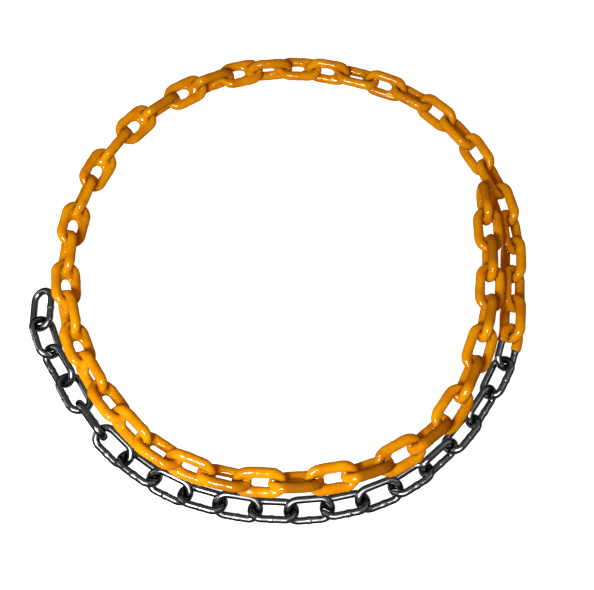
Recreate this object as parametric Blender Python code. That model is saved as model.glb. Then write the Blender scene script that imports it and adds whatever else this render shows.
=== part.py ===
"""A length of welded link chain, part dipped in orange plastic, laid in a ring.

The chain is one run of 68 links. It starts at a free end on the left, goes
round the bottom as bare steel, and turns into coated links on the right. The
coated stretch goes over the top and down the left, and then lies inside the
bare one up to the second free end.

Metres, +Z up, resting on Z = 0, with the middle of the ring over the origin.
Run with: blender --background --python part.py
"""

import math

import bmesh
import bpy
import numpy as np
from mathutils import Matrix, Vector

MM = 0.001

# Link, across its wire and its eye
WIRE = 5.0 * MM
EYE_LENGTH = 25.7 * MM
EYE_WIDTH = 10.3 * MM
COAT = 1.2 * MM
GAP = 0.3 * MM

# How much slimmer a link is on the inside of its ends, where the next one bears
BARE_SLIM = 0.3 * MM
COAT_SLIM = 2.0 * MM

# Chain, counted from the bare free end
BARE_LINKS = 19
HALF_COATED = 20
LINKS = 68

# Facets: each half-turn at a link's end, and round the wire
END_STEPS = 5
WIRE_SIDES = 8
FLAT_TURN = math.radians(180 / WIRE_SIDES)
# The facets' corners stand this much proud, so that the wire keeps its section's area
ROUNDNESS = 1.054
SHARP = math.radians(60)
MERGE = 0.01 * MM
WEB_ROUNDS = 2

# How far the hollow of the coat's sleeve runs past its open end
BORE_PAST = 3.0 * MM

# Points between two stations of the route, and halvings when a joint is sought on it
ROUTE_STEPS = 16
HALVINGS = 40

# How far the coat reaches along the half-coated link, from the link's middle
COAT_START_INNER = -5.0 * MM
COAT_START_OUTER = 2.0 * MM

# Coated links stuck together by a web of plastic, by the first of each pair
WEBBED = (27, 29, 37, 39, 41, 43, 45, 47, 51, 53)
WEB_SIZE = (4.0 * MM, 4.4 * MM, 4.4 * MM)

# Distance from joint to joint, in mm, from the link named on
STEPS = (
    (1, 22.2), (2, 24.2), (3, 25.0), (4, 24.75), (16, 24.4), (18, 25.0), (20, 23.2), (21, 23.7),
    (26, 25.0), (32, 25.3), (40, 25.4), (53, 24.5), (57, 24.6), (60, 25.0), (63, 23.9),
    (66, 23.6), (68, 25.0),
)

# Middle of the run in plan, in mm, from the bare free end to the coated one
ROUTE = (
    (-194, -3), (-190, -35.5), (-174.5, -56.5), (-161.5, -78), (-129.7, -115.5), (-88, -143),
    (-40.5, -156), (9, -158), (58, -148), (99, -124), (133.5, -86.5), (157, -43.6), (164.4, 2),
    (168, 48.6), (158, 94.5), (134.3, 139.3), (97, 173.8), (51.3, 193), (2, 201.9), (-49, 197),
    (-95.3, 177.4), (-135, 146), (-162, 104), (-176, 57), (-176, 6), (-159.5, -46), (-132.5, -85.5),
    (-96.5, -119.3), (-49.7, -137.7), (0, -140.2), (49, -132.2), (91, -110.5), (107, -92.5),
    (122, -70), (140, -22), (146, 27), (147, 74), (146, 100),
)

# Roll of a link about the run, in degrees: at 0 it lies flat, and up to 90 its inner side is up
ODD_ROLLS = (
    (1, 20), (3, 32), (5, 84), (7, 134), (13, 140), (17, 132), (19, 132), (21, 120), (27, 122),
    (31, 112), (33, 104), (35, 90), (37, 80), (39, 66), (43, 56), (47, 48), (53, 44), (57, 29),
    (61, 14), (65, 8), (67, 2),
)
EVEN_ROLLS = (
    (2, 136), (4, 148), (6, 197), (8, 204), (12, 207), (14, 207), (16, 234), (18, 230), (20, 212),
    (26, 216), (30, 206), (32, 198), (34, 186), (36, 173), (38, 162), (40, 147), (42, 139),
    (46, 137), (50, 131), (54, 125), (58, 112), (62, 98), (66, 90), (68, 86),
)

# Lift in mm over where the links would just reach the floor: play of a loose link, and the
# height of the outer run where the inner one lies on it
LIFTS = (
    (1, 1.5), (1.5, 0.5), (2.5, 0.5), (4, 0), (19, 0), (21, 0.5), (31, 0.5), (33, 0.3), (34.5, -0.1),
    (35.5, -0.1), (37, 0.3), (38, 0.5), (43, 0.5), (45, 2), (47, 5.5), (49, 8), (51, 12.1),
    (55, 11.3), (61, 10.8), (66, 10.8), (67.5, 10), (68, 4),
)

HALF_WIDTH = (EYE_WIDTH + WIRE) / 2
END_CENTRE = (EYE_LENGTH - EYE_WIDTH) / 2
WIRE_FLAT = ROUNDNESS * math.cos(FLAT_TURN)


def along(stations, number):
    """Value at a link, read between the stations of a list."""
    links, values = zip(*stations)
    return float(np.interp(number, links, values))


def wire_radius(number):
    """Half the thickness of the wire, which the coat makes thicker from the half-coated link on."""
    return WIRE / 2 + COAT * along(((HALF_COATED - 1.5, 0), (HALF_COATED - 0.5, 1)), number)


def smooth_route(points):
    """A smooth line through the route's points, in metres."""
    p = np.array(points, float) * MM
    p = np.vstack([2 * p[0] - p[1], p, 2 * p[-1] - p[-2]])
    t = (np.arange(ROUTE_STEPS) / ROUTE_STEPS)[:, None]
    line = []
    for a, b, c, d in zip(p, p[1:], p[2:], p[3:]):
        line.append(0.5 * (2 * b + (c - a) * t + (2 * a - 5 * b + 4 * c - d) * t**2
                           + (3 * b - a - 3 * c + d) * t**3))
    return np.vstack(line + [p[-2:-1]])


def roll(number):
    """How far a link is turned about the run, in radians."""
    return math.radians(along(ODD_ROLLS if number % 2 else EVEN_ROLLS, number))


def joint_height(first, second):
    """Height of the run's middle between two links, so that the steeper one reaches the floor."""
    steepest = max(abs(math.sin(roll(first))), abs(math.sin(roll(second))))
    middle = (first + second) / 2
    return wire_radius(middle) * WIRE_FLAT + HALF_WIDTH * steepest + along(LIFTS, middle) * MM


def joints():
    """Points where one link hangs in the next, walked along the route at link steps."""
    line = smooth_route(ROUTE)
    points = [Vector((*line[0], joint_height(1, 1)))]
    here = 0
    for number in range(1, LINKS + 1):
        height = joint_height(number, min(number + 1, LINKS))
        step = [s for first, s in STEPS if first <= number][-1] * MM
        reach = math.sqrt(step**2 - (height - points[-1].z)**2)
        start = np.array(points[-1][:2])
        while np.linalg.norm(line[here + 1] - start) < reach:
            here += 1
        a, b = line[here], line[here + 1]
        low, high = 0.0, 1.0
        for _ in range(HALVINGS):
            middle = (low + high) / 2
            if np.linalg.norm(a + (b - a) * middle - start) < reach:
                low = middle
            else:
                high = middle
        points.append(Vector((*(a + (b - a) * low), height)))
    return points


def link_frame(number, start, end):
    """Place of one link: X along the run, Y across the link, Z through its eye."""
    forward = (end - start).normalized()
    side = Vector((0, 0, 1)).cross(forward).normalized()
    up = forward.cross(side)
    turn = roll(number)
    across = side * math.cos(turn) + up * math.sin(turn)
    through = forward.cross(across)
    frame = Matrix((forward, across, through)).transposed().to_4x4()
    frame.translation = (start + end) / 2
    return frame


def shift_to_origin(frames, meshes):
    """Move the run so that its lowest point is at Z = 0 and its middle over the origin."""
    corners = []
    for number, frame in frames.items():
        corners += [frame @ vertex.co for vertex in meshes[number].vertices]
    corners = np.array(corners)
    low, high = corners.min(axis=0), corners.max(axis=0)
    shift = Vector(((low[0] + high[0]) / 2, (low[1] + high[1]) / 2, low[2]))
    for frame in frames.values():
        frame.translation -= shift


def end_turn(side, radius, slim=0.0):
    """Half-turn at one end of a link. The coat is slim where the next link bears."""
    points = []
    for i in range(END_STEPS + 1):
        angle = math.pi * i / END_STEPS
        thin = slim * math.sin(angle)
        reach = HALF_WIDTH + thin / 2
        x = side * (END_CENTRE + reach * math.sin(angle))
        points.append((x, -side * reach * math.cos(angle), radius - thin / 2))
    return points


def wire_mesh(name, points, closed=True):
    """Solid round wire along points of (x, y, radius) in one plane."""
    curve = bpy.data.curves.new(name, "CURVE")
    curve.dimensions = "3D"
    curve.bevel_depth = 1.0
    curve.bevel_resolution = (WIRE_SIDES - 4) // 2
    curve.use_fill_caps = not closed
    spline = curve.splines.new("POLY")
    spline.points.add(len(points) - 1)
    spline.use_cyclic_u = closed
    for point, (x, y, radius) in zip(spline.points, points):
        point.co = (x, y, 0, 1)
        point.radius = radius * ROUNDNESS
        point.tilt = FLAT_TURN
    guide = bpy.data.objects.new(name, curve)
    bpy.context.scene.collection.objects.link(guide)
    depsgraph = bpy.context.evaluated_depsgraph_get()
    mesh = bpy.data.meshes.new_from_object(guide.evaluated_get(depsgraph))
    mesh.name = name
    bpy.data.objects.remove(guide)
    bpy.data.curves.remove(curve)
    return mesh


def weld_caps(mesh):
    """Join the end caps of an open wire to its sides."""
    bm = bmesh.new()
    bm.from_mesh(mesh)
    bmesh.ops.remove_doubles(bm, verts=bm.verts, dist=MERGE)
    bm.to_mesh(mesh)
    bm.free()


def web_mesh(name):
    """Lump of plastic that closes the joint between two coated links."""
    bm = bmesh.new()
    bmesh.ops.create_icosphere(bm, subdivisions=WEB_ROUNDS, radius=1.0)
    bmesh.ops.scale(bm, vec=WEB_SIZE, verts=bm.verts)
    mesh = bpy.data.meshes.new(name)
    bm.to_mesh(mesh)
    bm.free()
    return mesh


def finish(name, colour, metallic, roughness):
    """One of the two surfaces of the chain."""
    material = bpy.data.materials.new(name)
    material.use_nodes = True
    shader = material.node_tree.nodes["Principled BSDF"]
    shader.inputs["Base Color"].default_value = (*colour, 1)
    shader.inputs["Metallic"].default_value = metallic
    shader.inputs["Roughness"].default_value = roughness
    return material


def place(name, mesh, frame, collection):
    """One copy of a mesh where the run has it."""
    thing = bpy.data.objects.new(name, mesh)
    thing.matrix_world = frame
    collection.objects.link(thing)
    return thing


def boolean(thing, other, operation):
    """Cut the other solid out of a thing, or join it on."""
    other.hide_render = True
    other.display_type = "WIRE"
    cut = thing.modifiers.new(other.name, "BOOLEAN")
    cut.operation = operation
    cut.solver = "EXACT"
    cut.object = other


def sleeve_path(radius, slim=0.0, past=0.0):
    """Path of the coat round the coated end of the half-coated link."""
    inner = (COAT_START_INNER - past, HALF_WIDTH, radius)
    outer = (COAT_START_OUTER - past, -HALF_WIDTH, radius)
    return [outer] + end_turn(1, radius, slim) + [inner]


def round_off(mesh, material):
    """Give a mesh its surface and shade its round sides smooth."""
    mesh.materials.append(material)
    mesh.shade_smooth()
    mesh.set_sharp_from_angle(angle=SHARP)


def build():
    """Make every link in its place along the run."""
    for thing in list(bpy.data.objects):
        bpy.data.objects.remove(thing)
    parts = bpy.data.collections.new("part_coated_chain_ring")
    cutters = bpy.data.collections.new("cutters")
    for collection in (parts, cutters):
        bpy.context.scene.collection.children.link(collection)

    steel = finish("bare_steel", (0.03, 0.03, 0.032), 1.0, 0.25)
    plastic = finish("orange_coat", (0.95, 0.42, 0.01), 0.0, 0.3)

    bare = WIRE / 2
    coated = bare + COAT
    bare_link = wire_mesh("bare_link", end_turn(1, bare, BARE_SLIM) + end_turn(-1, bare, BARE_SLIM))
    coated_link = wire_mesh("coated_link", end_turn(1, coated, COAT_SLIM) + end_turn(-1, coated, COAT_SLIM))
    sleeve = wire_mesh("coat_sleeve", sleeve_path(coated, COAT_SLIM), closed=False)
    bore = wire_mesh("sleeve_bore", sleeve_path(bare + GAP, BARE_SLIM, past=BORE_PAST), closed=False)
    web = web_mesh("web")
    for mesh in (sleeve, bore):
        weld_caps(mesh)
    for mesh in (bare_link, sleeve, coated_link, web):
        round_off(mesh, steel if mesh is bare_link else plastic)

    points = joints()
    frames, meshes = {}, {}
    for number in range(1, LINKS + 1):
        frames[number] = link_frame(number, points[number - 1], points[number])
        meshes[number] = bare_link if number <= HALF_COATED else coated_link
    shift_to_origin(frames, meshes)

    for number, frame in frames.items():
        label = number - HALF_COATED
        if number <= BARE_LINKS:
            place(f"bare_link_{number:02d}", bare_link, frame, parts)
        elif number == HALF_COATED:
            place("half_coated_link", bare_link, frame, parts)
            coat = place("coat_sleeve", sleeve, frame, parts)
            boolean(coat, place("sleeve_bore", bore, frame, cutters), "DIFFERENCE")
        elif number in WEBBED:
            link = place(f"coated_pair_{label:02d}_{label + 1:02d}", coated_link, frame, parts)
            joint = frame @ Matrix.Translation((EYE_LENGTH / 2, 0, 0))
            boolean(link, place(f"web_{label:02d}", web, joint, cutters), "UNION")
            partner = place(f"partner_{label + 1:02d}", coated_link, frames[number + 1], cutters)
            boolean(link, partner, "UNION")
        elif number - 1 not in WEBBED:
            place(f"coated_link_{label:02d}", coated_link, frame, parts)


build()
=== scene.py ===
# %% [markdown]
# A length of welded chain lies in a ring of a bit more than one turn. Nineteen links are bare
# dark steel, one is dipped by half, and forty-eight carry a thick orange plastic coat. The
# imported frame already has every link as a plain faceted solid. This lesson makes the real
# surface of each: round drawn wire with its weld, and a dipped coat with its lumps and webs.

# %% Load the frame
import math

import bmesh
import bpy
import numpy as np
from mathutils import Matrix, Vector


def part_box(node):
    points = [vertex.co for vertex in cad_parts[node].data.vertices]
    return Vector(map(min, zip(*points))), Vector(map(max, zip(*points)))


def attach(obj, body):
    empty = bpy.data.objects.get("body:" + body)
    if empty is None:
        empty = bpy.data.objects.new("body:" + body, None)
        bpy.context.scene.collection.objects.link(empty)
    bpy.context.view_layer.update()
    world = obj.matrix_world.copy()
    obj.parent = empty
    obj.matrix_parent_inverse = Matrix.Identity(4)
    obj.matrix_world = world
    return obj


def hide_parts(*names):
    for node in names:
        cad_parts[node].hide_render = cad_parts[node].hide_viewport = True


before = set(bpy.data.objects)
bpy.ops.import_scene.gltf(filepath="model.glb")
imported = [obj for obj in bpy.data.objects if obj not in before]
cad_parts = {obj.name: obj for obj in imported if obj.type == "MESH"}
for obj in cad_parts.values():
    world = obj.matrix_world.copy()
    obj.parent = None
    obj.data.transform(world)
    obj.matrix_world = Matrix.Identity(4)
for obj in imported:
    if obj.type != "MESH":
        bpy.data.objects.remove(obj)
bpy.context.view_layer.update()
MM = 0.001

# %% [markdown]
# The camera comes first, because everything is judged through it. The ring is seen from high
# up, so it is nearly a plan, and the near side is a little larger than the far side. The
# camera looks at a point near the middle of the ring.

# %% Camera
VIEW_ELEVATION = math.radians(71.44)
VIEW_DISTANCE = 487 * MM
VIEWED_POINT = Vector((12.76, -22.72, 0.1)) * MM
LENS = 38.02


def make_camera():
    """Camera that looks along +Y, down on the ring."""
    data = bpy.data.cameras.new("camera")
    data.lens = LENS
    data.sensor_width = 36
    data.clip_start = 0.01
    camera = bpy.data.objects.new("camera", data)
    bpy.context.scene.collection.objects.link(camera)
    back = Vector((0, -math.cos(VIEW_ELEVATION), math.sin(VIEW_ELEVATION)))
    camera.location = VIEWED_POINT + back * VIEW_DISTANCE
    camera.rotation_euler = (math.pi / 2 - VIEW_ELEVATION, 0, 0)
    bpy.context.scene.camera = camera
    return camera


print("camera at", [round(x, 3) for x in make_camera().location])

# %% [markdown]
# A shader tree is easier to read when each node is one line. This helper makes a node, sets
# its plain sockets and joins the linked ones, so that a material below reads as a recipe.

# %% Helper for shader trees


def add_node(tree, kind, settings=None, **sockets):
    """A shader node, with its sockets given as values or as other nodes' outputs.

    A socket goes by its name, with _ for a space, or by its number after a _.
    """
    made = tree.nodes.new("ShaderNode" + kind)
    for name, value in (settings or {}).items():
        setattr(made, name, value)
    for name, value in sockets.items():
        key = int(name[1:]) if name[1:].isdigit() else name.replace("_", " ")
        if isinstance(value, bpy.types.NodeSocket):
            tree.links.new(value, made.inputs[key])
        else:
            made.inputs[key].default_value = value
    return made


def new_material(name):
    """An empty material, its tree and its surface shader."""
    material = bpy.data.materials.new(name)
    material.use_nodes = True
    tree = material.node_tree
    return material, tree, tree.nodes["Principled BSDF"]


print("shader helpers:", add_node.__name__, new_material.__name__)

# %% [markdown]
# The studio is a white table under a small key lamp at the near left, with a soft box beside it
# and a warm, faint room round it. The real wires have dark lines along both sides, and a white
# table would fill them, so this one glows, and the chain neither mirrors it nor is lit by it.
#
# The coat has a lamp for its gloss alone, which its lumps mirror as small bright spots. Polished
# wire mirrors a light as a stripe, as wide as the light is broad, so the bare steel has five
# lights of its own: a soft box on the near side, a strip on each side, and a faint sheet above
# and below. They could shine on everything, but then the coat would shine like metal, so light
# linking gives each group of pieces its own.

# %% Floor and light
FLOOR_SIZE = 8.0
FLOOR_COLOUR = (0.9, 0.9, 0.9, 1)
FLOOR_GLOW = 1.0
ROOM_FILL = 0.27
ROOM_MIRRORED = 0.015
FILL_COLOUR = (1.0, 0.6, 0.35, 1)

# each light: its name, place, power and size
KEY = ("key_lamp", (-0.17, -0.30, 0.42), 1.95, (0.13, 0.13))
FILL = ("fill_softbox", (-0.40, -0.45, 0.28), 1.4, (0.6, 0.6))
GLINT = ("glint_lamp", (-0.14, -0.31, 0.45), 2.4, (0.16, 0.16))
GLINT_COLOUR = (1.0, 0.88, 0.6)
STEEL_LIGHTS = (
    ("near_softbox", (-0.10, -0.446, 0.86), 8.8, (0.8, 0.7)),
    ("right_strip", (0.60, 0.05, 0.75), 0.7, (0.15, 0.9)),
    ("left_strip", (-1.0, -0.1, 0.25), 2.2, (0.3, 1.4)),
    ("room_above", (0, 0, 2.0), 110, (12, 12)),
    ("room_below", (0, 0, -2.0), 170, (12, 12)),
)


def make_floor():
    """A wide white table at the height the chain lies on, which only the camera sees."""
    bm = bmesh.new()
    bmesh.ops.create_grid(bm, x_segments=1, y_segments=1, size=FLOOR_SIZE / 2)
    mesh = bpy.data.meshes.new("floor")
    bm.to_mesh(mesh)
    bm.free()
    material, tree, shader = new_material("white_table")
    shader.inputs["Base Color"].default_value = FLOOR_COLOUR
    shader.inputs["Roughness"].default_value = 0.9
    shader.inputs["Emission Color"].default_value = (1, 1, 1, 1)
    shader.inputs["Emission Strength"].default_value = FLOOR_GLOW
    mesh.materials.append(material)
    floor = bpy.data.objects.new("floor", mesh)
    bpy.context.scene.collection.objects.link(floor)
    floor.visible_glossy = False
    floor.visible_diffuse = False
    floor.visible_shadow = False


def make_light(name, place, power, size):
    """A rectangular lamp that faces the middle of the ring."""
    data = bpy.data.lights.new(name, "AREA")
    data.shape = "RECTANGLE"
    data.size, data.size_y = size
    data.energy = power
    light = bpy.data.objects.new(name, data)
    bpy.context.scene.collection.objects.link(light)
    light.location = place
    light.rotation_euler = (-Vector(place)).to_track_quat("-Z", "Y").to_euler()
    light.visible_camera = False
    return light


def make_group(name):
    """A collection of the pieces that a light shines on."""
    group = bpy.data.collections.new(name)
    bpy.context.scene.collection.children.link(group)
    return group


def make_room():
    """A room that is white to the camera, a faint warm fill to the chain, and dark in its gloss."""
    world = bpy.data.worlds.new("studio")
    world.use_nodes = True
    tree = world.node_tree
    ray = add_node(tree, "LightPath").outputs
    fill = add_node(tree, "MapRange", Value=ray["Is Diffuse Ray"], To_Min=1.0, To_Max=ROOM_FILL)
    mirrored = add_node(tree, "MapRange", Value=ray["Is Glossy Ray"], To_Min=1.0, To_Max=ROOM_MIRRORED)
    strength = add_node(tree, "Math", {"operation": "MULTIPLY"}, _0=fill.outputs["Result"],
                        _1=mirrored.outputs["Result"])
    colour = add_node(tree, "MixRGB", Fac=ray["Is Diffuse Ray"], Color1=(1, 1, 1, 1), Color2=FILL_COLOUR)
    background = tree.nodes["Background"]
    tree.links.new(colour.outputs["Color"], background.inputs["Color"])
    tree.links.new(strength.outputs["Value"], background.inputs["Strength"])
    bpy.context.scene.world = world


make_floor()
make_room()
make_light(*KEY)
make_light(*FILL).visible_glossy = False
steel_pieces = make_group("steel_pieces")
coated_pieces = make_group("coated_pieces")
for steel_light in STEEL_LIGHTS:
    make_light(*steel_light).light_linking.receiver_collection = steel_pieces
glint_lamp = make_light(*GLINT)
glint_lamp.data.color = GLINT_COLOUR
glint_lamp.visible_diffuse = False
glint_lamp.light_linking.receiver_collection = coated_pieces
bpy.context.scene.view_settings.view_transform = "Standard"
print("lights:", [light[0] for light in (KEY, FILL, GLINT, *STEEL_LIGHTS)])

# %% [markdown]
# The coat is soft plastic that ran and set: strong yellow orange, a little uneven in shade,
# and glossy with a fine skin like orange peel. The shade varies slowly, so a coarse noise
# on Object coordinates drives it, and a fine one drives the bump.

# %% Orange coat
ORANGE_DEEP = (0.72, 0.235, 0.001, 1)
ORANGE_BRIGHT = (0.94, 0.405, 0.001, 1)
# painted shade colour, for the creases where two links touch
ORANGE_CREASE_SHADE = (0.2, 0.055, 0.001, 1)
# painted shade colour, for the top legs of links that stand on edge
ORANGE_SHADED_TOP = (0.4, 0.13, 0.002, 1)


def orange_coat():
    """Dipped plastic, uneven in shade and in gloss."""
    material, tree, shader = new_material("dipped_orange_plastic")
    place = add_node(tree, "TexCoord").outputs["Object"]
    shade = add_node(tree, "TexNoise", Vector=place, Scale=60.0, Detail=3.0)
    ramp = add_node(tree, "ValToRGB", Fac=shade.outputs["Fac"])
    ramp.color_ramp.elements[0].position = 0.3
    ramp.color_ramp.elements[0].color = ORANGE_DEEP
    ramp.color_ramp.elements[1].position = 0.62
    ramp.color_ramp.elements[1].color = ORANGE_BRIGHT
    # painted shade: the top legs of links on edge turn brown
    shaded = add_node(tree, "Attribute", {"attribute_name": "shaded"}).outputs["Fac"]
    # painted shade: the creases between links turn dark brown
    crease_shade = add_node(tree, "Attribute", {"attribute_name": "crease_shade"}).outputs["Fac"]
    top_shaded = add_node(tree, "MixRGB", Fac=shaded, Color1=ramp.outputs["Color"], Color2=ORANGE_SHADED_TOP)
    lined = add_node(tree, "MixRGB", Fac=crease_shade, Color1=top_shaded.outputs["Color"], Color2=ORANGE_CREASE_SHADE)
    tree.links.new(lined.outputs["Color"], shader.inputs["Base Color"])
    patches = add_node(tree, "TexNoise", Vector=place, Scale=350.0, Detail=2.0)
    gloss = add_node(tree, "MapRange", Value=patches.outputs["Fac"], To_Min=0.05, To_Max=0.18)
    tree.links.new(gloss.outputs["Result"], shader.inputs["Roughness"])
    peel = add_node(tree, "TexNoise", Vector=place, Scale=1100.0, Detail=2.0)
    bump = add_node(tree, "Bump", Height=peel.outputs["Fac"], Strength=0.45, Distance=0.12 * MM)
    tree.links.new(bump.outputs["Normal"], shader.inputs["Normal"])
    shader.inputs["IOR"].default_value = 1.45
    return material


# %% [markdown]
# The bare links are drawn wire with a thin dark oxide skin: nearly black where nothing
# bright is mirrored, and white where the soft light is. The skin is finely grained, and
# duller round the weld, which the mesh marks with an attribute.

# %% Dark steel
STEEL_COLOUR = (0.24, 0.24, 0.243, 1)
STEEL_DARK = (0.15, 0.15, 0.153, 1)
STEEL_EDGE = (0.2, 0.2, 0.2, 1)
WELD_ROUGHNESS = 0.2


def dark_steel():
    """Glossy dark steel wire, rougher at its weld."""
    material, tree, shader = new_material("oxide_dark_steel")
    place = add_node(tree, "TexCoord").outputs["Object"]
    weld = add_node(tree, "Attribute", {"attribute_name": "weld"}).outputs["Fac"]
    shader.inputs["Metallic"].default_value = 1.0
    shader.inputs["Specular Tint"].default_value = STEEL_EDGE
    stain = add_node(tree, "TexNoise", Vector=place, Scale=220.0, Detail=4.0)
    ramp = add_node(tree, "ValToRGB", Fac=stain.outputs["Fac"])
    ramp.color_ramp.elements[0].position = 0.35
    ramp.color_ramp.elements[0].color = STEEL_DARK
    ramp.color_ramp.elements[1].position = 0.65
    ramp.color_ramp.elements[1].color = STEEL_COLOUR
    tree.links.new(ramp.outputs["Color"], shader.inputs["Base Color"])
    grain = add_node(tree, "TexNoise", Vector=place, Scale=900.0, Detail=3.0)
    gloss = add_node(tree, "MapRange", Value=grain.outputs["Fac"], To_Min=0.05, To_Max=0.13)
    rough = add_node(tree, "Math", {"operation": "MULTIPLY_ADD"}, _0=weld, _1=WELD_ROUGHNESS,
                     _2=gloss.outputs["Result"])
    tree.links.new(rough.outputs["Value"], shader.inputs["Roughness"])
    bump = add_node(tree, "Bump", Height=grain.outputs["Fac"], Strength=0.15, Distance=0.05 * MM)
    tree.links.new(bump.outputs["Normal"], shader.inputs["Normal"])
    return material


COAT = orange_coat()
STEEL = dark_steel()
print("materials:", COAT.name, STEEL.name)

# %% [markdown]
# Where the links lie is the design of the part, so its tables are repeated here. The run is a
# smooth line through listed points. Each link reaches a set step along it and is rolled about
# it by a set angle, and odd and even links roll to opposite sides, as links of a chain do.

# %% Layout of the run
WIRE = 5.0 * MM
EYE_LENGTH = 25.7 * MM
EYE_WIDTH = 10.3 * MM
COAT_DEPTH = 1.2 * MM
BARE_LINKS = 19
HALF_COATED = 20
LINKS = 68
HALVINGS = 40  # when a joint is sought on the route
HALF_WIDTH = (EYE_WIDTH + WIRE) / 2
END_CENTRE = (EYE_LENGTH - EYE_WIDTH) / 2

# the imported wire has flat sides, and its corners stand a little proud to keep the section's area
PACKED_SIDES = 8
ROUNDNESS = 1.054
WIRE_FLAT = ROUNDNESS * math.cos(math.radians(180 / PACKED_SIDES))

# distance from joint to joint in mm, from the link named on
STEPS = (
    (1, 22.2), (2, 24.2), (3, 25.0), (4, 24.75), (16, 24.4), (18, 25.0), (20, 23.2), (21, 23.7),
    (26, 25.0), (32, 25.3), (40, 25.4), (53, 24.5), (57, 24.6), (60, 25.0), (63, 23.9),
    (66, 23.6), (68, 25.0),
)
# middle of the run in plan, in mm, from the bare free end to the coated one
ROUTE = (
    (-194, -3), (-190, -35.5), (-174.5, -56.5), (-161.5, -78), (-129.7, -115.5), (-88, -143),
    (-40.5, -156), (9, -158), (58, -148), (99, -124), (133.5, -86.5), (157, -43.6), (164.4, 2),
    (168, 48.6), (158, 94.5), (134.3, 139.3), (97, 173.8), (51.3, 193), (2, 201.9), (-49, 197),
    (-95.3, 177.4), (-135, 146), (-162, 104), (-176, 57), (-176, 6), (-159.5, -46), (-132.5, -85.5),
    (-96.5, -119.3), (-49.7, -137.7), (0, -140.2), (49, -132.2), (91, -110.5), (107, -92.5),
    (122, -70), (140, -22), (146, 27), (147, 74), (146, 100),
)
# roll of a link about the run, in degrees: at 0 it lies flat, and at 90 it stands on edge
ODD_ROLLS = (
    (1, 20), (3, 32), (5, 84), (7, 134), (13, 140), (17, 132), (19, 132), (21, 120), (27, 122),
    (31, 112), (33, 104), (35, 90), (37, 80), (39, 66), (43, 56), (47, 48), (53, 44), (57, 29),
    (61, 14), (65, 8), (67, 2),
)
EVEN_ROLLS = (
    (2, 136), (4, 148), (6, 197), (8, 204), (12, 207), (14, 207), (16, 234), (18, 230), (20, 212),
    (26, 216), (30, 206), (32, 198), (34, 186), (36, 173), (38, 162), (40, 147), (42, 139),
    (46, 137), (50, 131), (54, 125), (58, 112), (62, 98), (66, 90), (68, 86),
)
# lift in mm over where the links would just reach the floor
LIFTS = (
    (1, 1.5), (1.5, 0.5), (2.5, 0.5), (4, 0), (19, 0), (21, 0.5), (31, 0.5), (33, 0.3), (34.5, -0.1),
    (35.5, -0.1), (37, 0.3), (38, 0.5), (43, 0.5), (45, 2), (47, 5.5), (49, 8), (51, 12.1),
    (55, 11.3), (61, 10.8), (66, 10.8), (67.5, 10), (68, 4),
)


def along(stations, number):
    """Value at a link, read between the stations of a list."""
    links, values = zip(*stations)
    return float(np.interp(number, links, values))


def wire_radius(number):
    """Half the thickness of the wire, coat and all."""
    return WIRE / 2 + COAT_DEPTH * along(((HALF_COATED - 1.5, 0), (HALF_COATED - 0.5, 1)), number)


def roll(number):
    """How far a link is turned about the run, in radians."""
    return math.radians(along(ODD_ROLLS if number % 2 else EVEN_ROLLS, number))


def joint_height(first, second):
    """Height of the run's middle between two links, so that the steeper one reaches the floor."""
    steepest = max(abs(math.sin(roll(first))), abs(math.sin(roll(second))))
    middle = (first + second) / 2
    return wire_radius(middle) * WIRE_FLAT + HALF_WIDTH * steepest + along(LIFTS, middle) * MM


def smooth_route(points, steps=16):
    """A smooth line through the route's points, in metres."""
    p = np.array(points, float) * MM
    p = np.vstack([2 * p[0] - p[1], p, 2 * p[-1] - p[-2]])
    t = (np.arange(steps) / steps)[:, None]
    line = []
    for a, b, c, d in zip(p, p[1:], p[2:], p[3:]):
        line.append(0.5 * (2 * b + (c - a) * t + (2 * a - 5 * b + 4 * c - d) * t**2
                           + (3 * b - a - 3 * c + d) * t**3))
    return np.vstack(line + [p[-2:-1]])


def joints():
    """Points where one link hangs in the next, walked along the route at link steps."""
    line = smooth_route(ROUTE)
    points = [Vector((*line[0], joint_height(1, 1)))]
    here = 0
    for number in range(1, LINKS + 1):
        height = joint_height(number, min(number + 1, LINKS))
        step = [s for first, s in STEPS if first <= number][-1] * MM
        reach = math.sqrt(step**2 - (height - points[-1].z)**2)
        start = np.array(points[-1][:2])
        while np.linalg.norm(line[here + 1] - start) < reach:
            here += 1
        a, b = line[here], line[here + 1]
        low, high = 0.0, 1.0
        for _ in range(HALVINGS):
            middle = (low + high) / 2
            if np.linalg.norm(a + (b - a) * middle - start) < reach:
                low = middle
            else:
                high = middle
        points.append(Vector((*(a + (b - a) * low), height)))
    return points


def link_frame(number, start, end):
    """Place of one link: X along the run, Y across the link, Z through its eye."""
    forward = (end - start).normalized()
    side = Vector((0, 0, 1)).cross(forward).normalized()
    up = forward.cross(side)
    turn = roll(number)
    across = side * math.cos(turn) + up * math.sin(turn)
    place = Matrix((forward, across, forward.cross(across))).transposed().to_4x4()
    place.translation = (start + end) / 2
    return place


points = joints()
PLACES = {n: link_frame(n, points[n - 1], points[n]) for n in range(1, LINKS + 1)}
run = sum((b - a).length for a, b in zip(points, points[1:]))
print("links:", LINKS, "length of the run in mm:", round(run / MM))

# %% [markdown]
# The tables give the run in its own frame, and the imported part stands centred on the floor.
# The difference is one shift, the same for all links. A link's middle is the middle of its
# node's box, so the first bare link gives the shift, and the other bare links and some coated
# ones check it.

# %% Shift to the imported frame


def middle_of(node):
    """Middle of a CAD node's box."""
    low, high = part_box(node)
    return (low + high) / 2


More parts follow.
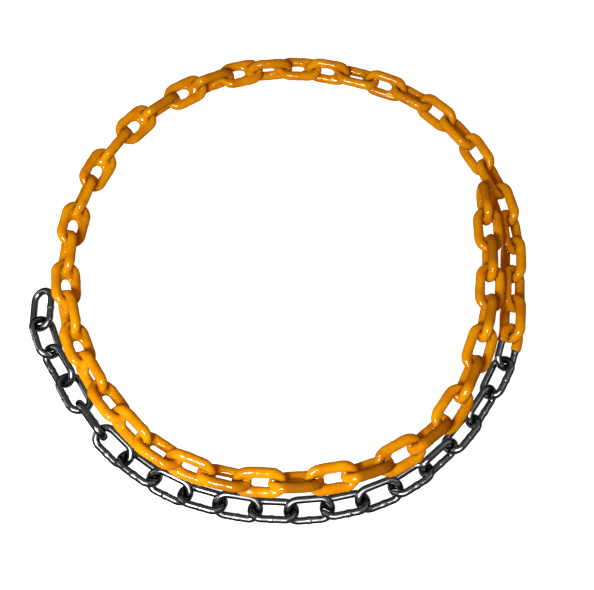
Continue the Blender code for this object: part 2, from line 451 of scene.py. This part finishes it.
shift = middle_of("bare_link_01") - PLACES[1].translation
for place in PLACES.values():
    place.translation += shift
misses = [(middle_of(f"bare_link_{n:02d}") - PLACES[n].translation).length
          for n in range(1, BARE_LINKS + 1)]
misses += [(middle_of(f"coated_link_{n:02d}") - PLACES[HALF_COATED + n].translation).length
           for n in (1, 2, 13, 29, 35, 40, 47, 48)]
print("shift in mm:", [round(x / MM, 2) for x in shift], "largest miss:", round(max(misses) / MM, 3))

# %% [markdown]
# A link is one wire bent into a flat loop: two straight legs and two half-turns. A circle is
# drawn out along a leg, spun through a half-turn, drawn back and spun again, and then the
# last ring lies on the first and is merged with it.

# %% The wire of one link


def ring_in(made):
    """The edges and vertices that a step has just made at its far end."""
    verts = [part for part in made if isinstance(part, bmesh.types.BMVert)]
    there = set(verts)
    edges = dict.fromkeys(e for v in verts for e in v.link_edges if e.other_vert(v) in there)
    return verts, list(edges)


def draw_out(bm, edges, reach, steps):
    """Draw a ring of edges out along X."""
    verts = []
    for _ in range(steps):
        made = bmesh.ops.extrude_edge_only(bm, edges=edges)["geom"]
        verts, edges = ring_in(made)
        bmesh.ops.translate(bm, verts=verts, vec=(reach / steps, 0, 0))
    return verts, edges


def half_turn(bm, verts, edges, side, steps):
    """Spin a ring through the half-turn at one end of a link."""
    made = bmesh.ops.spin(bm, geom=verts + edges, cent=(side * END_CENTRE, 0, 0), axis=(0, 0, 1),
                          angle=math.pi, steps=steps)["geom_last"]
    return ring_in(made)


def wire_loop(bm, radius, sides, leg_steps, turn_steps):
    """The closed wire of a link, in the link's own place."""
    verts = bmesh.ops.create_circle(bm, segments=sides, radius=radius)["verts"]
    stand = Matrix.Translation((-END_CENTRE, -HALF_WIDTH, 0)) @ Matrix.Rotation(math.pi / 2, 4, "Y")
    bmesh.ops.transform(bm, matrix=stand, verts=verts)
    edges = ring_in(verts)[1]
    for side in (1, -1):
        verts, edges = draw_out(bm, edges, side * 2 * END_CENTRE, leg_steps)
        verts, edges = half_turn(bm, verts, edges, side, turn_steps)
    bmesh.ops.remove_doubles(bm, verts=bm.verts, dist=0.01 * MM)


def slim_ends(bm, radius, slim):
    """Thin the wire on the inside of its half-turns, or thicken it when slim is below zero."""
    for vert in bm.verts:
        over = abs(vert.co.x) - END_CENTRE
        if over <= 0:
            continue
        out = math.hypot(over, vert.co.y)
        thin = slim * over / out
        size = (radius - thin / 2) / radius
        reach = (HALF_WIDTH + thin / 2 + (out - HALF_WIDTH) * size) / out
        side = math.copysign(1, vert.co.x)
        vert.co = (side * (END_CENTRE + over * reach), vert.co.y * reach, vert.co.z * size)


def new_piece(name, bm, material):
    """Make an object of a bmesh, and let it ride on the chain's one body."""
    bmesh.ops.recalc_face_normals(bm, faces=bm.faces)
    mesh = bpy.data.meshes.new(name)
    bm.to_mesh(mesh)
    bm.free()
    mesh.materials.append(material)
    mesh.shade_smooth()
    piece = bpy.data.objects.new(name, mesh)
    bpy.context.scene.collection.objects.link(piece)
    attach(piece, "root")
    return piece


print("a bare link in mm:", [round((eye + 2 * WIRE) / MM, 1) for eye in (EYE_LENGTH, EYE_WIDTH)])

# %% [markdown]
# A link is closed by a butt weld in the middle of one leg. The hot ends are pressed together,
# so a low collar stands there, with a dark seam in it and a flat mark of the clamps on each
# side. The weld is on the outer leg, but on the inner one of the end link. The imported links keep
# a gap where they bear on each other, and here the wire is a little thicker there, to close it.

# %% Bare steel links
WELD_HEIGHT = 0.42 * MM
WELD_LENGTH = 1.0 * MM
SEAM_DEPTH = 0.35 * MM
SEAM_LENGTH = 0.28 * MM
CLAMP_REACH = 3.2 * MM
CLAMP_DEPTH = 0.05 * MM
WELD_DRIFT = 1.2 * MM
WELD_LEAST, WELD_MOST = 0.7, 1.2
BARE_SLIM = -0.5 * MM


def hump(distance, length):
    """A smooth hump, 1 at its middle."""
    return math.exp(-(distance / length)**2)


def weld_leg(bm, leg, middle, strength):
    """Raise the collar and press the marks of a weld on one leg, and mark it for the material."""
    layer = bm.verts.layers.float.new("weld")
    for vert in bm.verts:
        if vert.co.y * leg < 0 or abs(vert.co.x) > END_CENTRE:
            continue
        along_leg = vert.co.x - middle
        out = WELD_HEIGHT * hump(along_leg, WELD_LENGTH) - SEAM_DEPTH * hump(along_leg, SEAM_LENGTH)
        for side in (-1, 1):
            out -= CLAMP_DEPTH * hump(along_leg - side * CLAMP_REACH, WELD_LENGTH)
        size = 1 + strength * out / (WIRE / 2)
        vert.co.y = leg * HALF_WIDTH + (vert.co.y - leg * HALF_WIDTH) * size
        vert.co.z *= size
        vert[layer] = strength * hump(along_leg, 1.5 * WELD_LENGTH)


def steel_link(number, name, node):
    """One bare link with its weld."""
    rng = np.random.default_rng(number)
    bm = bmesh.new()
    wire_loop(bm, WIRE / 2, sides=20, leg_steps=32, turn_steps=18)
    slim_ends(bm, WIRE / 2, BARE_SLIM)
    outer = -1 if math.cos(roll(number)) > 0 else 1
    middle, strength = rng.uniform(-1, 1) * WELD_DRIFT, rng.uniform(WELD_LEAST, WELD_MOST)
    weld_leg(bm, -outer if number == 1 else outer, middle, strength)
    bmesh.ops.transform(bm, matrix=PLACES[number], verts=bm.verts)
    piece = new_piece(name, bm, STEEL)
    steel_pieces.objects.link(piece)
    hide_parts(node)
    return piece


for number in range(1, BARE_LINKS + 1):
    steel_link(number, f"steel_link_{number:02d}", f"bare_link_{number:02d}")
steel_link(HALF_COATED, "steel_link_half_dipped", "half_coated_link")
print("steel links:", BARE_LINKS + 1)

# %% [markdown]
# Two marks on each coated skin tell its material where to paint the coat darker, as painted
# shade. Painted shade goes in the creases where two links touch: there a point is near the wires
# of both. And on the links that stand on edge, the leg on top gets a brown painted shade, but for
# the end that is nearer to the light. They could be painted by hand, but worked out from where a
# point of the skin lies on each wire they fit every link. The loop of a wire is folded onto one
# half-turn for that.

# %% Marks for painted shade in creases and on top legs
# painted shade: how far the darkening of a crease reaches
CREASE_SHADE_WIDTH = 1.1 * MM
# by link: how much painted shade darkens its upper leg
TOP_SHADE = (
    (35, 0.0), (36, 0.6), (40, 0.6), (41, 0.0), (52, 0.0), (54, 1.0), (60, 1.0), (62, 0.8), (64, 0.6),
    (66, 0.8), (68, 0.6),
)
INNER_RUN = 50
TOP_SHADE_REACH = 11.0 * MM
TOP_SHADE_FADE = 6.0 * MM
LEG_START = 4.0 * MM
LEG_FADE = 3.0 * MM
STEEP = 0.7
STEEP_FADE = 0.2


def on_wire(points, number):
    """Points in a link's own place, and their distance from its wire's middle."""
    turned = np.array(PLACES[number].inverted())
    local = points @ turned[:3, :3].T + turned[:3, 3]
    over = np.maximum(np.abs(local[:, 0]) - END_CENTRE, 0)
    flat = np.hypot(over, local[:, 1]) - HALF_WIDTH
    return local, np.hypot(flat, local[:, 2])


def on_edge(number):
    """How far a link stands on edge, from 0 to 1."""
    return float(np.clip((abs(math.sin(roll(number))) - STEEP) / STEEP_FADE, 0, 1))


def mark(mesh, name, values):
    """Store a number at each vertex, for the material to read."""
    mesh.attributes.new(name, "FLOAT", "POINT").data.foreach_set("value", values.astype(np.float32))


def mark_coat(mesh, numbers):
    """Mark where a skin gets painted shade: its creases, and the top legs of links on edge."""
    points = np.empty(len(mesh.vertices) * 3)
    mesh.vertices.foreach_get("co", points)
    points = points.reshape(-1, 3)
    near = range(max(numbers[0] - 1, HALF_COATED), min(numbers[-1] + 1, LINKS) + 1)
    places, gaps = zip(*(on_wire(points, number) for number in near))
    second = np.sort(np.array(gaps), axis=0)[1] - WIRE / 2 - COAT_DEPTH
    # painted shade in the creases, where a point is near the wires of two links
    mark(mesh, "crease_shade", np.exp(-(np.maximum(second, 0) / CREASE_SHADE_WIDTH)**2))
    # painted shade on the top leg of a link on edge, fading out at the end nearer to the light
    shaded = np.zeros(len(points))
    owner = np.argmin(np.array(gaps), axis=0)
    for i, number in enumerate(near):
        top = math.copysign(1, math.sin(roll(number)))
        leg = np.clip((places[i][:, 1] * top - LEG_START) / LEG_FADE, 0, 1)
        far = 1 if number > INNER_RUN else -1
        end = np.clip((TOP_SHADE_REACH + far * places[i][:, 0]) / TOP_SHADE_FADE, 0, 1)
        shaded = np.where(owner == i, along(TOP_SHADE, number) * on_edge(number) * leg * end, shaded)
    mark(mesh, "shaded", shaded)


# links whose top leg gets painted shade
shaded_links = [n for n in range(HALF_COATED + 1, LINKS + 1) if along(TOP_SHADE, n) * on_edge(n) > 0]
print("links with a worn leg:", shaded_links)

# %% [markdown]
# The coat ran down the chain while it set. It is thick and a little lumpy, and plastic has
# gathered where a link enters the next, so that a pad holds the two together there, and at many
# links the first end of the eye is rounded off by a web. The wire, pads and web are put in one
# mesh, a voxel remesh joins them into one skin, smoothing rounds the joins, and two clouds
# displace the skin: low broad lumps and small ripples. Booleans could join them too, but they
# leave a sharp line where plastic has none.

# %% Coated links
VOXEL = 0.55 * MM
COAT_SLIM = 0.8 * MM
COAT_SIDES = 20
COAT_TURN_STEPS = 14
WEB_WIRE = 2.4 * MM
WEB_ARCH = EYE_WIDTH / 2 - COAT_DEPTH
WEB_LEAST = -4.0
# by link: how far its web reaches past the wire of the link before, in mm
WEBS = (
    (21, -4.5), (27, -3.1), (29, -2), (31, 0.3), (33, 0.6), (34, 1.3), (36, 2.1), (38, 3), (40, 3),
    (42, 2.4), (46, 2.4), (48, 2.7), (50, 0), (57, 0), (58, 0.9), (60, -2.5), (62, -4), (68, -4),
)
# by link: how much its web narrows the eye on each side, in mm
EYE_FILL = ((29, 0), (31, 0.3), (36, 0.6), (44, 0.7), (49, 0.4), (52, 0))
PAD = Vector((4.3, 6.4, 4.3)) * MM  # half its length, width and height
PAD_OUT = 0.4 * MM
# by link: the size of its pads as a share of PAD
PADS = ((21, 0.84), (32, 0.86), (34, 1), (51, 1), (54, 0.9), (68, 0.84))
LUMP_SIZE = 5.0 * MM
LUMP_HEIGHT = 0.55 * MM
RIPPLE_SIZE = 1.8 * MM
RIPPLE_HEIGHT = 0.2 * MM
# coated links stuck together by a web of plastic, by the first of each pair
WEBBED = (27, 29, 37, 39, 41, 43, 45, 47, 51, 53)


def cloud(name, size):
    """A cloud texture for displacing a skin."""
    texture = bpy.data.textures.new(name, "CLOUDS")
    texture.noise_scale = size
    return texture


LUMPS = cloud("lumps", LUMP_SIZE)
RIPPLES = cloud("ripples", RIPPLE_SIZE)


def skin_over(piece):
    """Join what is in a piece into one soft skin with lumps and ripples."""
    remesh = piece.modifiers.new("skin", "REMESH")
    remesh.mode = "VOXEL"
    remesh.voxel_size = VOXEL
    remesh.use_smooth_shade = True
    smooth = piece.modifiers.new("settle", "SMOOTH")
    smooth.factor = 0.5
    smooth.iterations = 6
    for texture, height in ((LUMPS, LUMP_HEIGHT), (RIPPLES, RIPPLE_HEIGHT)):
        displace = piece.modifiers.new(texture.name, "DISPLACE")
        displace.texture = texture
        displace.texture_coords = "LOCAL"
        displace.strength = height
        displace.mid_level = 0.5
    bpy.context.view_layer.update()
    depsgraph = bpy.context.evaluated_depsgraph_get()
    skin = bpy.data.meshes.new_from_object(piece.evaluated_get(depsgraph))
    piece.modifiers.clear()
    piece.data = skin
    skin.shade_smooth()


def web_arch(bm, centre, arch):
    """Plastic that rounds off the first end of an eye, from leg to leg."""
    middle = (centre, 0, 0)
    verts = bmesh.ops.create_circle(bm, segments=16, radius=WEB_WIRE, cap_ends=True)["verts"]
    stand = Matrix.Translation((centre, arch + WEB_WIRE, 0)) @ Matrix.Rotation(math.pi / 2, 4, "Y")
    bmesh.ops.transform(bm, matrix=stand, verts=verts)
    edges = ring_in(verts)[1]
    made = bmesh.ops.spin(bm, geom=verts + edges, cent=middle, axis=(0, 0, 1), angle=math.pi,
                          steps=12)["geom_last"]
    bmesh.ops.contextual_create(bm, geom=ring_in(made)[1])


def coated_wire(bm, number):
    """Wire of one coated link in its place, with the web at its first end and a pad at both."""
    radius = WIRE / 2 + COAT_DEPTH
    link = bmesh.new()
    wire_loop(link, radius, sides=COAT_SIDES, leg_steps=8, turn_steps=COAT_TURN_STEPS)
    slim_ends(link, radius, COAT_SLIM)
    reach = along(WEBS, number)
    crown = -EYE_LENGTH / 2 + 2 * radius - COAT_SLIM
    if reach > WEB_LEAST:
        web_arch(link, crown + WEB_ARCH + reach * MM, WEB_ARCH - along(EYE_FILL, number) * MM)
    for side in (-1, 1):
        more = max(reach, 0) * MM if side < 0 else 0
        size = PAD * along(PADS, number) + Vector((more / 2, 0, 0))
        pad = bmesh.ops.create_icosphere(link, subdivisions=3, radius=1.0)["verts"]
        bmesh.ops.scale(link, vec=size, verts=pad)
        bmesh.ops.translate(link, vec=(-side * (crown + more - size.x + PAD_OUT), 0, 0), verts=pad)
    bmesh.ops.transform(link, matrix=PLACES[number], verts=link.verts)
    mesh = bpy.data.meshes.new("link")
    link.to_mesh(mesh)
    link.free()
    bm.from_mesh(mesh)
    bpy.data.meshes.remove(mesh)


def finish_coat(piece, numbers):
    """Give a coated piece its skin, marks and lights. The steel doesn't mirror it."""
    skin_over(piece)
    mark_coat(piece.data, numbers)
    piece.visible_glossy = False
    coated_pieces.objects.link(piece)


def coated_piece(name, numbers, node):
    """One coated link, or two that are stuck together."""
    bm = bmesh.new()
    for number in numbers:
        coated_wire(bm, number)
    piece = new_piece(name, bm, COAT)
    finish_coat(piece, numbers)
    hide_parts(node)
    return piece


print("a pad in mm:", [round(2 * size / MM, 1) for size in PAD], "stuck pairs:", len(WEBBED))

# %% [markdown]
# Each skin rides on the chain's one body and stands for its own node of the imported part. Links
# whose coats ran together are one node there, so they are one skin here.

# %% Skin of every coated link
faces = 0
for number in range(HALF_COATED + 1, LINKS + 1):
    label = number - HALF_COATED
    if number - 1 in WEBBED:
        continue
    if number in WEBBED:
        pair = f"pair_{label:02d}_{label + 1:02d}"
        piece = coated_piece("dipped_" + pair, (number, number + 1), "coated_" + pair)
    else:
        piece = coated_piece(f"dipped_link_{label:02d}", (number,), f"coated_link_{label:02d}")
    faces += len(piece.data.polygons)
print("coated links:", LINKS - HALF_COATED, "faces:", faces)

# %% [markdown]
# On the half-dipped link the coat ends in a thick round lip on each leg, lower on one leg
# than on the other, because the chain hung at a slant in the bath. The coat is drawn as a
# wire that is closed at both lips, over the steel.

# %% The coat's end
LIP_OUTER = 0.2 * MM
LIP_INNER = 2.0 * MM
# by distance from the lip, in mm: how thick the coated wire is, where 1 is its full thickness
LIP = ((0.0, 0.66), (0.25, 0.84), (0.7, 0.95), (1.4, 1.0))


def dipped_end(node):
    """The coat round the coated end of the half-dipped link."""
    radius = WIRE / 2 + COAT_DEPTH
    bm = bmesh.new()
    verts = bmesh.ops.create_circle(bm, segments=COAT_SIDES, radius=radius, cap_ends=True)["verts"]
    stand = Matrix.Translation((LIP_INNER, -HALF_WIDTH, 0)) @ Matrix.Rotation(math.pi / 2, 4, "Y")
    bmesh.ops.transform(bm, matrix=stand, verts=verts)
    edges = ring_in(verts)[1]
    verts, edges = draw_out(bm, edges, END_CENTRE - LIP_INNER, steps=10)
    verts, edges = half_turn(bm, verts, edges, 1, COAT_TURN_STEPS)
    verts, edges = draw_out(bm, edges, LIP_OUTER - END_CENTRE, steps=14)
    bmesh.ops.contextual_create(bm, geom=edges)
    slim_ends(bm, radius, COAT_SLIM)
    reaches, sizes = zip(*LIP)
    for vert in bm.verts:
        if vert.co.x > END_CENTRE:
            continue
        leg = math.copysign(1, vert.co.y)
        lip = LIP_OUTER if leg > 0 else LIP_INNER
        size = float(np.interp((vert.co.x - lip) / MM, reaches, sizes))
        vert.co.y = leg * HALF_WIDTH + (vert.co.y - leg * HALF_WIDTH) * size
        vert.co.z *= size
    bmesh.ops.transform(bm, matrix=PLACES[HALF_COATED], verts=bm.verts)
    piece = new_piece("dipped_end", bm, COAT)
    finish_coat(piece, (HALF_COATED,))
    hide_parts(node)
    return piece


print("faces of the coat's end:", len(dipped_end("coat_sleeve").data.polygons))
